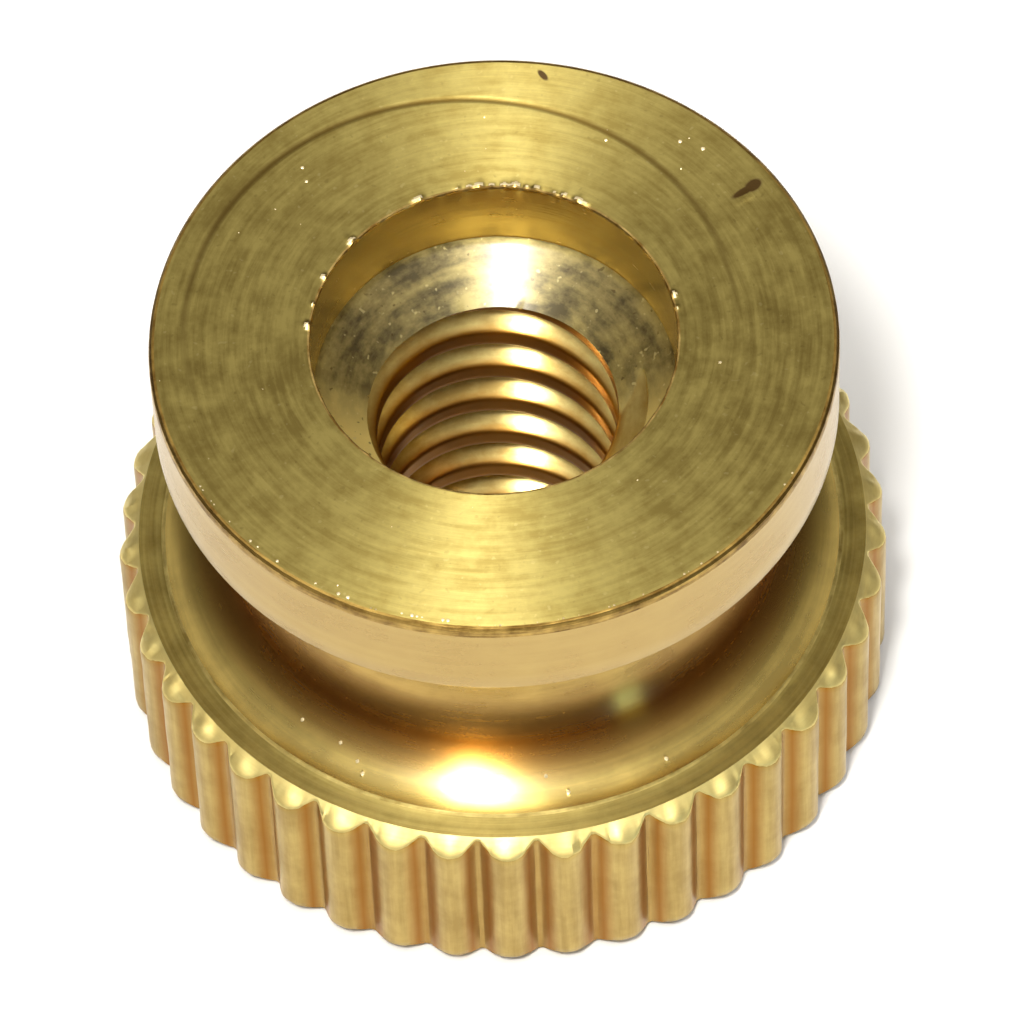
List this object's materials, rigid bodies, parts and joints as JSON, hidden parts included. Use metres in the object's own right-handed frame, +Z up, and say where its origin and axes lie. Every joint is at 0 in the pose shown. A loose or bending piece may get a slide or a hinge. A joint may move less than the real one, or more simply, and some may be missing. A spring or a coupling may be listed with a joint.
{
  "type": "knurled nut",
  "caption": "Turned brass thumb nut: straight-knurled head, hollow waisted neck and plain collar, with a counterbored threaded hole through its middle.",
  "frame": {"origin": "middle of the flat underside, on the axis of the hole", "axes": "+Z up the axis of the hole, from the knurled head to the collar; one tooth's crest faces -Y"},
  "size_m": [0.0164, 0.0164, 0.0117],
  "materials": {
    "brass": "bare turned brass, bright on the cuts and lightly tarnished on the flat faces"
  },
  "bodies": {
    "root": {"knurled_nut": "brass"}
  },
  "joints": []
}
